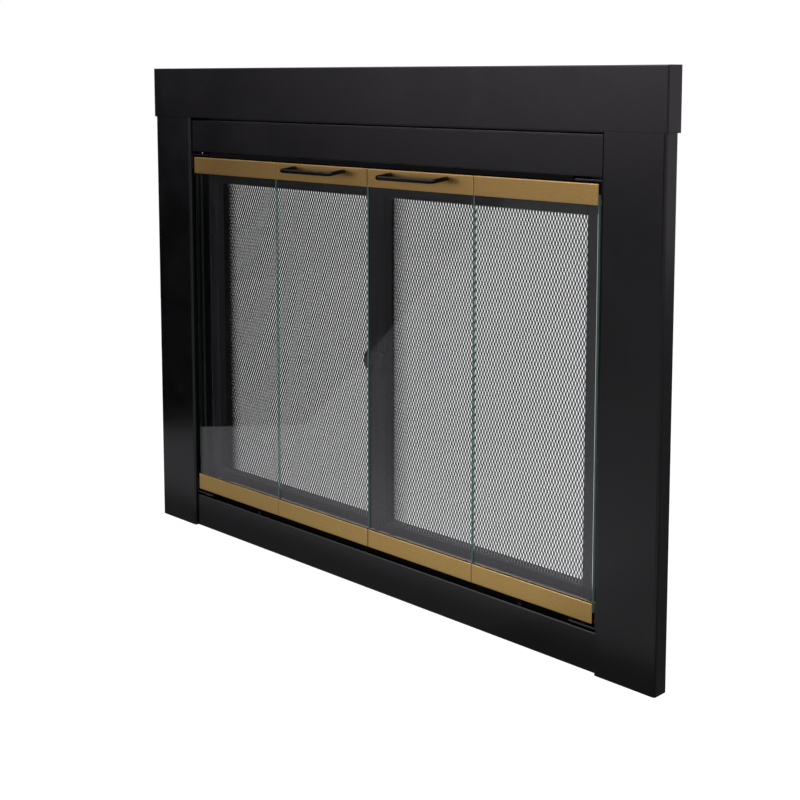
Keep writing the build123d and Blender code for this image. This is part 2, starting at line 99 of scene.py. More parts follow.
# Where the room changes, in parts of the direction in which it is seen, and its share of light
ROOM_LEFT = (-0.81, -0.64)
ROOM_RIGHT, ROOM_RIGHT_SHARE = (-0.42, -0.12), 0.12
ROOM_FOOT, ROOM_FOOT_SHARES = (-0.11, 0.03), (0.1, 2.8)
ROOM_TOP, ROOM_TOP_SHARE = (0.25, 0.5), 0.2
BACKDROP_START = (-0.10, 0.30)
RIGHT_WALL_START = (0.20, 0.50)
CEILING_START = (0.42, 0.62)
CEILING_LEFT, CEILING_LEFT_SHARE = (-0.80, -0.62), 0.15

# Name, place, aim and width of each lamp in metres, and its share of the power
LAMPS = (
    ("ceiling_lamp", (0.3, -0.6, 2.6), (0.1, -0.3, 0.0), 2.6, 1.0),
    ("front_lamp", (1.9, -2.6, 2.0), (0.0, 0.0, 0.4), 1.6, 0.6),
)

# Camera: width of the picture frame in millimetres, and how far it sees in metres
SENSOR_WIDTH = 36.0
FAR_END = 100.0


# Settings


class PaneSettings(PropertyGroup):
    """Sizes and tints of the four glass panes."""

    arris: FloatProperty(
        name="Arris", description="Width of the ground corner along every edge of a pane",
        default=0.0007, min=0.0002, max=0.002, unit="LENGTH")
    spread: FloatProperty(
        name="Spread", description="How far a pane goes past its solid at a seam with another pane",
        default=0.0004, min=0.0, max=0.0008, unit="LENGTH")
    tint: FloatVectorProperty(
        name="Glass tint", description="Colour that one face of the glass lets through",
        subtype="COLOR", size=3, min=0.0, max=1.0, default=(0.890, 0.912, 0.900))
    # The edge tint is painted lighter than the glass's own green, to stand in for the light seen
    # along the edge, and it is the colour of the edge's painted glow.
    edge_tint: FloatVectorProperty(
        name="Edge tint", description="Green of the glass where it is seen along its edge",
        subtype="COLOR", size=3, min=0.0, max=1.0, default=(0.15, 0.24, 0.21))


class NetSettings(PropertyGroup):
    """Sizes of the expanded steel nets in the two gates."""

    pitch_x: FloatProperty(
        name="Short way", description="Width of one diamond of the net",
        default=0.00565, min=0.003, max=0.03, unit="LENGTH")
    pitch_z: FloatProperty(
        name="Long way", description="Height of one diamond of the net",
        default=0.0118, min=0.005, max=0.05, unit="LENGTH")
    strand: FloatProperty(
        name="Strand", description="Width of a strand of the net",
        default=0.00105, min=0.0003, max=0.003, unit="LENGTH")
    sheet: FloatProperty(
        name="Sheet", description="Thickness of the steel that the net is cut from",
        default=0.0006, min=0.0003, max=0.0015, unit="LENGTH")
    twist: FloatProperty(
        name="Twist",
        description="How far the two edges of a strand stand in front of and behind the net",
        default=0.0011, min=0.0, max=0.002, unit="LENGTH")
    roll: FloatProperty(
        name="Roll", description="Width of the left border, which curves back along its stile",
        default=0.055, min=0.01, max=0.1, unit="LENGTH")
    roll_depth: FloatProperty(
        name="Roll depth", description="How far back the border ends",
        default=0.011, min=0.0001, max=0.014, unit="LENGTH")


class FinishSettings(PropertyGroup):
    """Colours of the coats and metals."""

    coat: FloatVectorProperty(
        name="Black coat", description="Powder coat of the frame, the handles and the guide track",
        subtype="COLOR", size=3, min=0.0, max=1.0, default=(0.0026, 0.0025, 0.0027))
    gate_coat: FloatVectorProperty(
        name="Gate coat", description="Dull coat of the stiles, rails and pulls of the gates",
        subtype="COLOR", size=3, min=0.0, max=1.0, default=(0.013, 0.013, 0.014))
    net_coat: FloatVectorProperty(
        name="Net coat", description="Matt coat of the gate nets",
        subtype="COLOR", size=3, min=0.0, max=1.0, default=(0.004, 0.004, 0.004))
    gold: FloatVectorProperty(
        name="Satin gold", description="Brushed trim bars of the glass panels",
        subtype="COLOR", size=3, min=0.0, max=1.0, default=(0.61, 0.40, 0.130))
    # Pale gold of the corners: a painted highlight along the edges of the trim bars, with some
    # rubbing.
    gold_highlight_edge: FloatVectorProperty(
        name="Rubbed gold and sheen", description="Paler corners of the trim bars",
        subtype="COLOR", size=3, min=0.0, max=1.0, default=(0.70, 0.60, 0.35))
    zinc: FloatVectorProperty(
        name="Zinc plate",
        description="Screws, hinge pins and leaves, gate pivots, clamps and brackets",
        subtype="COLOR", size=3, min=0.0, max=1.0, default=(0.42, 0.42, 0.41))
    packing: FloatVectorProperty(
        name="Fibre packing", description="Seal between the glass and the trim bars",
        subtype="COLOR", size=3, min=0.0, max=1.0, default=(0.016, 0.015, 0.014))


class StageSettings(PropertyGroup):
    """Floor, studio light and camera."""

    floor_tone: FloatProperty(
        name="Floor tone", description="Lightness of the pale floor",
        default=0.38, min=0.0, max=1.0, subtype="FACTOR")
    floor_lift: FloatProperty(
        name="Floor lift",
        description="Whiteness added to the floor where it is looked at directly",
        default=0.92, min=0.0, max=1.0, subtype="FACTOR")
    room_dark: FloatProperty(
        name="Room, dark end", description="Lightness of the room to the left of the camera",
        default=0.03, min=0.0, max=1.0, subtype="FACTOR")
    room_light: FloatProperty(
        name="Room, light end", description="Lightness of the room behind the camera",
        default=0.45, min=0.0, max=1.0, subtype="FACTOR")
    backdrop: FloatProperty(
        name="Backdrop", description="Lightness of the white backdrop in reflections",
        default=0.55, min=0.0, max=1.0, subtype="FACTOR")
    ceiling: FloatProperty(
        name="Ceiling", description="Lightness of the ceiling in reflections",
        default=2.8, min=0.0, max=10.0)
    floor_gloss: FloatProperty(
        name="Floor in reflections",
        description="Lightness of the floor where glass and metal show it",
        default=0.41, min=0.0, max=1.0, subtype="FACTOR")
    floor_tint: FloatVectorProperty(
        name="Floor tint", description="Colour of the floor where glass and metal show it",
        subtype="COLOR", size=3, min=0.0, max=1.0, default=(0.95, 0.94, 1.0))
    room_tint: FloatVectorProperty(
        name="Room tint", description="Colour of the room in front of the doors",
        subtype="COLOR", size=3, min=0.0, max=1.0, default=(0.97, 0.895, 1.0))
    lamp_power: FloatProperty(
        name="Ceiling lamp", description="Power of the wide soft lamp above the floor",
        default=20.0, min=0.0, max=1000.0, unit="POWER")
    lens: FloatProperty(
        name="Lens", description="Focal length in millimetres on a 36 mm frame",
        default=61.61, min=10.0, max=200.0)
    yaw: FloatProperty(
        name="Yaw", description="Turn of the camera to the left of straight on",
        default=math.radians(44.89), subtype="ANGLE")
    pitch: FloatProperty(
        name="Pitch", description="How far the camera looks down",
        default=math.radians(6.33), subtype="ANGLE")
    lift: FloatProperty(
        name="Frame shift", description="Vertical shift of the picture frame",
        default=-0.2125, min=-1.0, max=1.0)
    eye: FloatVectorProperty(
        name="Eye", description="Where the camera stands",
        subtype="TRANSLATION", size=3, unit="LENGTH", default=(1.5456, -1.5019, 0.8208))


# Modelling helpers


def clear_selection():
    """Goes back to object mode with nothing selected."""
    if bpy.context.object and bpy.context.object.mode != "OBJECT":
        bpy.ops.object.mode_set(mode="OBJECT")
    bpy.ops.object.select_all(action="DESELECT")


def choose(piece):
    """Makes the piece the only one that the next operator acts on."""
    clear_selection()
    piece.select_set(True)
    bpy.context.view_layer.objects.active = piece


def edit(piece, select_mode="FACE"):
    """Opens the piece in edit mode."""
    choose(piece)
    bpy.ops.object.mode_set(mode="EDIT")
    bpy.ops.mesh.select_mode(type=select_mode)


def done():
    """Leaves edit mode."""
    bpy.ops.object.mode_set(mode="OBJECT")


def pick_faces(piece, test):
    """Leaves only the faces that pass the test selected, from edit mode and back to it."""
    bpy.ops.mesh.select_all(action="DESELECT")
    bpy.ops.object.mode_set(mode="OBJECT")
    count = 0
    for face in piece.data.polygons:
        face.select = test(face)
        count += face.select
    if not count:
        raise RuntimeError(f"no face of {piece.name} was picked")
    bpy.ops.object.mode_set(mode="EDIT")


def settle(piece):
    """Puts the object at the origin, with its place in its mesh."""
    choose(piece)
    bpy.ops.object.transform_apply(location=True, rotation=True, scale=True)


def carry(piece, body, node):
    """Lets the piece move with its body, in place of the solid that it stands for."""
    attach(piece, body)
    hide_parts(node)


# Shader helpers


def opaque(colour):
    """The colour with a full alpha."""
    return (*colour, 1.0)


def scaled(colour, factor):
    """A darker or lighter share of the colour."""
    return tuple(min(1.0, part * factor) for part in colour)


def place(tree, kind, **settings):
    """Adds a node to the tree and sets its own options."""
    made = tree.nodes.new(kind)
    for name, value in settings.items():
        setattr(made, name, value)
    return made


def join(tree, value, socket):
    """Links another node's output to the socket, or writes a plain value there."""
    if isinstance(value, bpy.types.NodeSocket):
        tree.links.new(value, socket)
    else:
        socket.default_value = value


def feed(tree, target, **inputs):
    """Sets or links the inputs of a node, named with underscores in place of spaces."""
    for name, value in inputs.items():
        join(tree, value, target.inputs[name.replace("_", " ")])


def ramp(tree, value, start=0.0, end=1.0, at_start=0.0, at_end=1.0):
    """Goes smoothly from one level to another while the value goes from start to end."""
    made = place(tree, "ShaderNodeMapRange", interpolation_type="SMOOTHSTEP")
    feed(tree, made, Value=value, From_Min=start, From_Max=end, To_Min=at_start, To_Max=at_end)
    return made.outputs["Result"]


def combine(tree, operation, first, *others):
    """Adds, multiplies or compares values one after the other."""
    total = first
    for value in others:
        made = place(tree, "ShaderNodeMath", operation=operation)
        join(tree, total, made.inputs[0])
        join(tree, value, made.inputs[1])
        total = made.outputs[0]
    return total


def noise(tree, where, scale, detail=2.0, roughness=0.5):
    """Uneven grey from 0 to 1, finer at a larger scale."""
    made = place(tree, "ShaderNodeTexNoise")
    feed(tree, made, Vector=where, Scale=scale, Detail=detail, Roughness=roughness)
    return made.outputs["Fac"]


def stretched(tree, where, scale):
    """Coordinates that are drawn out by a different factor along each axis."""
    made = place(tree, "ShaderNodeMapping")
    feed(tree, made, Vector=where, Scale=scale)
    return made.outputs["Vector"]


def blend_colours(tree, factor, first, second):
    """Mixes two colours, each of them a socket or three plain numbers."""
    made = place(tree, "ShaderNodeMix", data_type="RGBA")
    join(tree, factor, made.inputs[MIX_FACTOR])
    for index, colour in ((MIX_FIRST, first), (MIX_SECOND, second)):
        linked = isinstance(colour, bpy.types.NodeSocket)
        join(tree, colour if linked else opaque(colour), made.inputs[index])
    return made.outputs[MIX_RESULT]


def shades(tree, mask, colour, at_start, at_end):
    """Varies a colour after a mask, from one share of it to another."""
    return blend_colours(tree, mask, scaled(colour, at_start), scaled(colour, at_end))


def bump(tree, height, strength, distance, under=None):
    """Bends the normal by a fine relief, on top of another normal where one is given."""
    made = place(tree, "ShaderNodeBump")
    feed(tree, made, Height=height, Strength=strength, Distance=distance)
    if under:
        tree.links.new(under, made.inputs["Normal"])
    return made.outputs["Normal"]


def show(tree, factor, first, second):
    """Shows the first shader where the factor is 0 and the second where it is 1."""
    mix = place(tree, "ShaderNodeMixShader")
    tree.links.new(factor, mix.inputs[0])
    tree.links.new(first.outputs[0], mix.inputs[1])
    tree.links.new(second.outputs[0], mix.inputs[2])
    tree.links.new(mix.outputs[0], tree.nodes["Material Output"].inputs["Surface"])


def looked_at(tree, fewer_turns_than):
    """1 for what the camera sees directly or straight through glass, otherwise 0."""
    ray = place(tree, "ShaderNodeLightPath")
    turns = combine(tree, "SUBTRACT", ray.outputs["Ray Depth"], ray.outputs["Transmission Depth"])
    straight = combine(tree, "MULTIPLY", ray.outputs["Is Transmission Ray"],
                       combine(tree, "LESS_THAN", turns, fewer_turns_than))
    return combine(tree, "MAXIMUM", ray.outputs["Is Camera Ray"], straight)


def mirrored(tree):
    """1 for what is seen in reflections, otherwise 0."""
    return place(tree, "ShaderNodeLightPath").outputs["Is Glossy Ray"]


# Node groups that several finishes share


def new_group(name, inputs, outputs):
    """An empty group. An input without a default is a vector, and the others are numbers."""
    group = bpy.data.node_groups.new(name, "ShaderNodeTree")
    for label, default in inputs:
        kind = "NodeSocketVector" if default is None else "NodeSocketFloat"
        socket = group.interface.new_socket(name=label, in_out="INPUT", socket_type=kind)
        if default is not None:
            socket.default_value = default
    for label, kind in outputs:
        group.interface.new_socket(name=label, in_out="OUTPUT", socket_type=kind)
    return group, group.nodes.new("NodeGroupInput").outputs, group.nodes.new("NodeGroupOutput")


def use_group(tree, group, where, **inputs):
    """Places a group in a material with its own values."""
    made = place(tree, "ShaderNodeGroup", node_tree=group)
    feed(tree, made, Vector=where, **inputs)
    return made.outputs


def grain_group():
    """Fine orange peel with slow cloudy mottling, for coats, metals, packing and glass."""
    group, given, result = new_group(
        "Coat grain", [("Vector", None), ("Grain size", 400.0), ("Cloud size", 9.0)],
        [("Peel", "NodeSocketFloat"), ("Cloud", "NodeSocketFloat")])
    peel = noise(group, given["Vector"], given["Grain size"], detail=3.0, roughness=0.55)
    cloud = noise(group, given["Vector"], given["Cloud size"], detail=4.0, roughness=0.6)
    feed(group, result, Peel=peel, Cloud=ramp(group, cloud, start=0.3, end=0.7))
    return group


def brush_group():
    """Fine straight brush lines along X, with broken speckle between them."""
    group, given, result = new_group(
        "Brush lines", [("Vector", None), ("Fineness", 1.0)],
        [("Lines", "NodeSocketFloat"), ("Speckle", "NodeSocketFloat")])
    long_marks = stretched(group, given["Vector"], LONG_MARKS)
    short_marks = stretched(group, given["Vector"], SHORT_MARKS)
    feed(group, result,
         Lines=noise(group, long_marks, given["Fineness"], detail=2.0, roughness=0.6),
         Speckle=noise(group, short_marks, given["Fineness"], detail=1.0, roughness=0.5))
    return group


def edge_group():
    """Mask of the narrow strip along corners where a coat is thin or rubbed, and where a highlight
    is painted along them.
    """
    group, given, result = new_group(
        "Edge rub and sheen", [("Vector", None), ("Reach", 0.001)],
        [("Mask", "NodeSocketFloat"), ("Soft normal", "NodeSocketVector")])
    soft = place(group, "ShaderNodeBevel", samples=4)
    feed(group, soft, Radius=given["Reach"])
    flat = place(group, "ShaderNodeNewGeometry")
    turn = place(group, "ShaderNodeVectorMath", operation="DOT_PRODUCT")
    group.links.new(soft.outputs["Normal"], turn.inputs[0])
    group.links.new(flat.outputs["Normal"], turn.inputs[1])
    strip = ramp(group, turn.outputs["Value"], start=0.99, end=0.86)
    patch = noise(group, given["Vector"], scale=60.0, detail=3.0)
    broken = ramp(group, patch, start=0.35, end=0.65, at_start=0.3)
    feed(group, result, Soft_normal=soft.outputs["Normal"],
         Mask=combine(group, "MULTIPLY", strip, broken))
    return group


# Finishes


def new_finish(name):
    """A material with its node tree, its main shader and the coordinates that patterns use."""
    material = bpy.data.materials.new(name)
    material.use_nodes = True
    tree = material.node_tree
    where = place(tree, "ShaderNodeTexCoord").outputs["Object"]
    return material, tree, tree.nodes["Principled BSDF"], where


def black_coat(name, colour, groups, roughness, wear_and_sheen, shine, corner):
    """Powder coat: black with faint clouding, orange peel and slightly paler corners, which are
    wear and a painted highlight.
    """
    material, tree, shader, where = new_finish(name)
    grain = use_group(tree, groups["grain"], where, Grain_size=900.0, Cloud_size=7.0)
    rub = use_group(tree, groups["edge"], where, Reach=corner)
    clouded = shades(tree, grain["Cloud"], colour, at_start=0.85, at_end=1.2)
    # The corners are painted paler: wear and a painted highlight along the bends.
    worn_and_sheen = combine(tree, "MULTIPLY", rub["Mask"], wear_and_sheen)
    feed(tree, shader, Specular_IOR_Level=shine,
         Base_Color=blend_colours(tree, worn_and_sheen, clouded, scaled(colour, RUBBED_AND_SHEEN_COAT)),
         Roughness=ramp(tree, grain["Cloud"], at_start=roughness - 0.03, at_end=roughness + 0.04),
         Normal=bump(tree, grain["Peel"], strength=0.08, distance=0.0002, under=rub["Soft normal"]))
    return material


def gold_trim(name, colour, rubbed, groups, roughness, wear_and_sheen, lines):
    """Satin gold: brushed along its length, with paler corners that are rubbed and painted with a
    highlight.
    """
    material, tree, shader, where = new_finish(name)
    grain = use_group(tree, groups["grain"], where, Grain_size=1300.0, Cloud_size=11.0)
    brush = use_group(tree, groups["brush"], where, Fineness=1.0)
    rub = use_group(tree, groups["edge"], where, Reach=0.0018)
    mark = combine(tree, "ADD", combine(tree, "MULTIPLY", brush["Lines"], lines),
                   combine(tree, "MULTIPLY", brush["Speckle"], 1.0 - lines))
    brushed = shades(tree, ramp(tree, mark, start=0.3, end=0.7), colour, at_start=0.88, at_end=1.08)
    # The pale gold corners are a painted highlight along the edges of the bars, with some rubbing.
    worn_and_sheen = combine(tree, "MULTIPLY", rub["Mask"], wear_and_sheen)
    scratched = ramp(tree, mark, start=0.25, end=0.75,
                     at_start=roughness - 0.015, at_end=roughness + 0.015)
    dulled = combine(tree, "MULTIPLY", grain["Cloud"], 0.05)
    feed(tree, shader, Metallic=1.0,
         Base_Color=blend_colours(tree, worn_and_sheen, brushed, rubbed),
         Roughness=combine(tree, "ADD", scratched, dulled),
         Normal=bump(tree, mark, strength=0.035, distance=0.0002, under=rub["Soft normal"]))
    return material


def zinc_plate(name, colour, groups, wear_and_sheen):
    """Dull zinc plate with cloudy passivation."""
    material, tree, shader, where = new_finish(name)
    grain = use_group(tree, groups["grain"], where, Grain_size=700.0, Cloud_size=45.0)
    rub = use_group(tree, groups["edge"], where, Reach=0.0005)
    clouded = shades(tree, grain["Cloud"], colour, at_start=0.8, at_end=1.15)
    worn_and_sheen = combine(tree, "MULTIPLY", rub["Mask"], wear_and_sheen)
    feed(tree, shader, Metallic=1.0,
         Base_Color=blend_colours(tree, worn_and_sheen, clouded, scaled(colour, RUBBED_ZINC)),
         Roughness=ramp(tree, grain["Cloud"], at_start=0.36, at_end=0.52),
         Normal=bump(tree, grain["Peel"], strength=0.2, distance=0.0001))
    return material


def fibre_packing(name, colour, groups):
    """Black fibre packing with a felted surface."""
    material, tree, shader, where = new_finish(name)
    grain = use_group(tree, groups["grain"], where, Grain_size=1600.0, Cloud_size=60.0)
    feed(tree, shader,
         Base_Color=shades(tree, grain["Peel"], colour, at_start=0.6, at_end=1.7),
         Roughness=ramp(tree, grain["Cloud"], at_start=0.82, at_end=0.95),
         Normal=bump(tree, grain["Peel"], strength=0.6, distance=0.0004))
    return material


def clear_glass(name, tint, groups):
    """Clear glass with a trace of wiping haze; lamp light goes straight through it."""
    material, tree, shader, where = new_finish(name)
    grain = use_group(tree, groups["grain"], where, Grain_size=300.0, Cloud_size=3.0)
    feed(tree, shader, Transmission_Weight=1.0, IOR=1.5,
         Base_Color=shades(tree, grain["Cloud"], tint, at_start=1.0, at_end=0.985),
         Roughness=ramp(tree, grain["Cloud"], at_end=0.012))
    through = place(tree, "ShaderNodeBsdfTransparent")
    feed(tree, through, Color=opaque(scaled(tint, 0.96)))
    show(tree, place(tree, "ShaderNodeLightPath").outputs["Is Shadow Ray"], shader, through)
    return material


def ground_edge(name, tint, groups):
    """Ground edge of a pane: opaque satin green, painted as light as the glass looks along its
    edge, with a faint painted glow, and deep green from inside the glass.
    """
    material, tree, shader, where = new_finish(name)
    grain = use_group(tree, groups["grain"], where, Grain_size=1200.0, Cloud_size=20.0)
    # The emission is a faint painted glow along the edge.
    feed(tree, shader, Emission_Color=opaque(tint), Emission_Strength=0.15,
         Base_Color=shades(tree, grain["Cloud"], tint, at_start=0.85, at_end=1.15),
         Roughness=ramp(tree, grain["Peel"], start=0.3, end=0.7, at_start=0.16, at_end=0.3),
         Normal=bump(tree, grain["Peel"], strength=0.15, distance=0.0001))
    through = place(tree, "ShaderNodeBsdfTransparent")
    feed(tree, through, Color=opaque(scaled(tint, 1.7)))
    show(tree, place(tree, "ShaderNodeNewGeometry").outputs["Backfacing"], shader, through)
    return material


def floor_paper(name, settings):
    """Pale paper, white where it is looked at and darker where glass and metal show it, with
    painted light and shade there.
    """
    material, tree, shader, where = new_finish(name)
    direct = looked_at(tree, SURFACE_TURNS)
    tone = (settings.floor_tone,) * 3
    feed(tree, shader, Roughness=0.9, Specular_IOR_Level=0.0, Emission_Color=opaque(WHITE),
         Base_Color=shades(tree, noise(tree, where, scale=400.0), tone, at_start=1.0, at_end=1.02),
         Emission_Strength=combine(tree, "MULTIPLY", direct, settings.floor_lift))
    spot = place(tree, "ShaderNodeSeparateXYZ")
    tree.links.new(where, spot.inputs[0])
    x, y = spot.outputs["X"], spot.outputs["Y"]
    gloss = settings.floor_gloss
    # Painted light and shade of the floor where glass and metal show it: a painted shadow under the
    # doors, painted shade towards the front and a painted pool of light near the middle.
    front = ramp(tree, x, *FRONT_X, *(share * gloss for share in FRONT_SHADE_SHARES))
    light = combine(tree, "MULTIPLY",
                    ramp(tree, y, *FOOT_Y, 1.0, FOOT_SHADOW_SHARE),
                    ramp(tree, y, *FRONT_Y, front, gloss),
                    ramp(tree, x, *MIDDLE_X, 1.0, MIDDLE_GLOW_SHARE),
                    ramp(tree, x, *RIGHT_X, 1.0, RIGHT_SHADE_SHARE))
    plain = place(tree, "ShaderNodeEmission")
    feed(tree, plain, Strength=light, Color=opaque(settings.floor_tint))
    only_mirrored = combine(tree, "MULTIPLY", mirrored(tree),
                            combine(tree, "SUBTRACT", 1.0, direct))
    show(tree, only_mirrored, shader, plain)
    return material


# Operators


class FIREPLACE_OT_panes(Operator):
    """Models the four glass panes with ground corners"""

    bl_idname = "fireplace.panes"
    bl_label = "Glass Panes"

    def execute(self, context):
        sizes = context.scene.fireplace_panes
        for side in SIDES:
            for leaf in LEAVES:
                self.pane(f"{side}_{leaf}", sizes)
        return {"FINISHED"}

    def pane(self, leaf, sizes):
        """One pane, a little wider than its solid apart from the side next to a jamb."""
        low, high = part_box(f"{leaf}_glass")
        spread = Vector((sizes.spread, 0, 0))
        if leaf != "left_outer":
            low = low - spread
        if leaf != "right_outer":
            high = high + spread
        clear_selection()
        bpy.ops.mesh.primitive_cube_add(size=1.0, location=(low + high) / 2, scale=high - low)
        pane = bpy.context.object
        pane.name = pane.data.name = f"{leaf}_pane"
        settle(pane)
        edit(pane, "EDGE")
        bpy.ops.mesh.select_all(action="SELECT")
        bpy.ops.mesh.bevel(offset=sizes.arris, offset_type="WIDTH", segments=2, affect="EDGES")
        bpy.ops.mesh.select_mode(type="FACE")
        pane.data.materials.append(bpy.data.materials["pane_glass"])
        pane.data.materials.append(bpy.data.materials["pane_ground_edge"])
        pick_faces(pane, lambda face: abs(face.normal.y) < BROAD_FACE)
        pane.active_material_index = 1
        bpy.ops.object.material_slot_assign()
        done()
        carry(pane, f"{leaf}_panel", f"{leaf}_glass")


class FIREPLACE_OT_nets(Operator):
    """Models the expanded steel net of one gate and copies it into the other"""

    bl_idname = "fireplace.nets"
    bl_label = "Gate Nets"

    def execute(self, context):
        right = self.net(context.scene.fireplace_nets)
        left = self.copy(right)
        for side, net in (("right", right), ("left", left)):
            net.name = net.data.name = f"{side}_gate_net"
            carry(net, f"{side}_gate", f"{side}_gate_mesh")
        return {"FINISHED"}

    def net(self, sizes):
        """A grid on its corner, drawn out to diamonds, opened up and cut to the gate's window."""
        low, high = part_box("right_gate_mesh")
        middle = (low + high) / 2
        reach = high - low
        cell = sizes.pitch_x / DIAGONAL
        stretch = sizes.pitch_z / sizes.pitch_x
        # An even number of cells that covers the window when the grid stands on its corner
        cells = 2 * math.ceil((reach.x + reach.z / stretch) / DIAGONAL / cell / 2) + 2
        clear_selection()
        bpy.ops.mesh.primitive_grid_add(
            x_subdivisions=cells, y_subdivisions=cells, size=cells * cell,
            location=middle, rotation=(math.pi / 2, math.pi / 4, 0))
        net = bpy.context.object
        settle(net)
        edit(net)
        bpy.ops.mesh.select_all(action="SELECT")
        bpy.ops.transform.resize(value=(1, 1, stretch), center_override=middle)
        bpy.ops.mesh.inset(use_individual=True, thickness=sizes.strand / 2)
        self.twist(net, sizes.twist)
        bpy.ops.mesh.delete(type="FACE")
        for corner, outwards in ((low, (-1, 0, 0)), (low, (0, 0, -1)),
                                 (high, (1, 0, 0)), (high, (0, 0, 1))):
            bpy.ops.mesh.select_all(action="SELECT")
            bpy.ops.mesh.bisect(plane_co=corner, plane_no=outwards, clear_outer=True)
        done()
        net.data.materials.append(bpy.data.materials["net_coat"])
        wall = net.modifiers.new("Sheet", "SOLIDIFY")
        wall.thickness = sizes.sheet
        wall.offset = 0.0
        bpy.ops.object.modifier_apply(modifier=wall.name)
        self.roll_border(net, low, sizes)
        return net

    def twist(self, net, depth):
        """Turns every strand: the left corner of a hole goes back and its right corner forward."""
        bpy.ops.object.mode_set(mode="OBJECT")
        mesh = net.data
        holes = {face.index for face in mesh.polygons if face.select}
        corners = {1: set(), -1: set()}
        for index in holes:
            across = sorted(mesh.polygons[index].vertices,
                            key=lambda point: mesh.vertices[point].co.x)
            corners[1].add(across[0])
            corners[-1].add(across[-1])
        for way, points in corners.items():
            edit(net, "VERT")
            bpy.ops.mesh.select_all(action="DESELECT")
            bpy.ops.object.mode_set(mode="OBJECT")
            for point in points:
                mesh.vertices[point].select = True
            bpy.ops.object.mode_set(mode="EDIT")
            bpy.ops.transform.translate(value=(0, way * depth, 0))
        bpy.ops.mesh.select_mode(type="FACE")
        pick_faces(net, lambda face: face.index in holes)

    def roll_border(self, net, low, sizes):
        """Curves the left border of the net back along the flange of its stile."""
        border = net.vertex_groups.new(name="border")
        for point in net.data.vertices:
            inside = (point.co.x - low.x) / sizes.roll
            border.add([point.index], max(0.0, 1.0 - inside) ** 2, "REPLACE")
        bend = net.modifiers.new("Border", "DISPLACE")
        bend.direction = "Y"
        bend.mid_level = 0.0
        bend.strength = sizes.roll_depth
        bend.vertex_group = border.name
        bpy.ops.object.modifier_apply(modifier=bend.name)

    def copy(self, right):
        """The same net in the left gate."""
        low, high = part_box("right_gate_mesh")
        choose(right)
        bpy.ops.object.duplicate(linked=False)
        left = bpy.context.object
        bpy.ops.transform.translate(value=(-(low.x + high.x), 0, 0))
        settle(left)
        return left


class FIREPLACE_OT_finishes(Operator):
    """Makes the finishes and gives every solid its own"""

    bl_idname = "fireplace.finishes"
    bl_label = "Finishes"

    def execute(self, context):
        colours = context.scene.fireplace_finishes
        panes = context.scene.fireplace_panes
        groups = {"grain": grain_group(), "brush": brush_group(), "edge": edge_group()}
        # Paler corners of the coats are wear and a painted highlight; the gates have the strongest
        # painted highlight, along the bends of their stiles.
        frame_coat = black_coat("frame_coat", colours.coat, groups,
                                roughness=0.22, wear_and_sheen=0.35, shine=0.5, corner=0.0018)
        gate_coat = black_coat("gate_coat", colours.gate_coat, groups,
                               roughness=0.42, wear_and_sheen=0.8, shine=0.4, corner=0.0012)
        handle_coat = black_coat("handle_coat", colours.coat, groups,
                                 roughness=0.14, wear_and_sheen=0.0, shine=0.14, corner=0.0004)
        track_coat = black_coat("track_coat", colours.coat, groups,
                                roughness=0.5, wear_and_sheen=0.0, shine=0.1, corner=0.0003)
        net_coat = black_coat("net_coat", colours.net_coat, groups,
                              roughness=0.55, wear_and_sheen=0.0, shine=0.12, corner=0.0002)
        by_slot = {
            "gold_trim": gold_trim("gold_bars", colours.gold, colours.gold_highlight_edge, groups,
                                   roughness=0.30, wear_and_sheen=0.7, lines=0.35),
            "zinc_steel": zinc_plate("zinc_plate", colours.zinc, groups, wear_and_sheen=0.5),
            "seal": fibre_packing("fibre_packing", colours.packing, groups),
            "black_mesh": net_coat,
            "clear_glass": clear_glass("pane_glass", panes.tint, groups),
        }
        ground_edge("pane_ground_edge", panes.edge_tint, groups)
        for entry in frame["record"]["subparts"]:
            node, slot = entry["node"], entry["material_slot"]
            if node.endswith("_handle"):
                finish = handle_coat
            elif node == "guide_track" or node.endswith("_pivot_pins"):
                finish = track_coat
            elif slot == "black_coat":
                finish = gate_coat if "_gate_" in node else frame_coat
            else:
                finish = by_slot[slot]
            for material_slot in frame["nodes"][node].material_slots:
                material_slot.material = finish
        return {"FINISHED"}


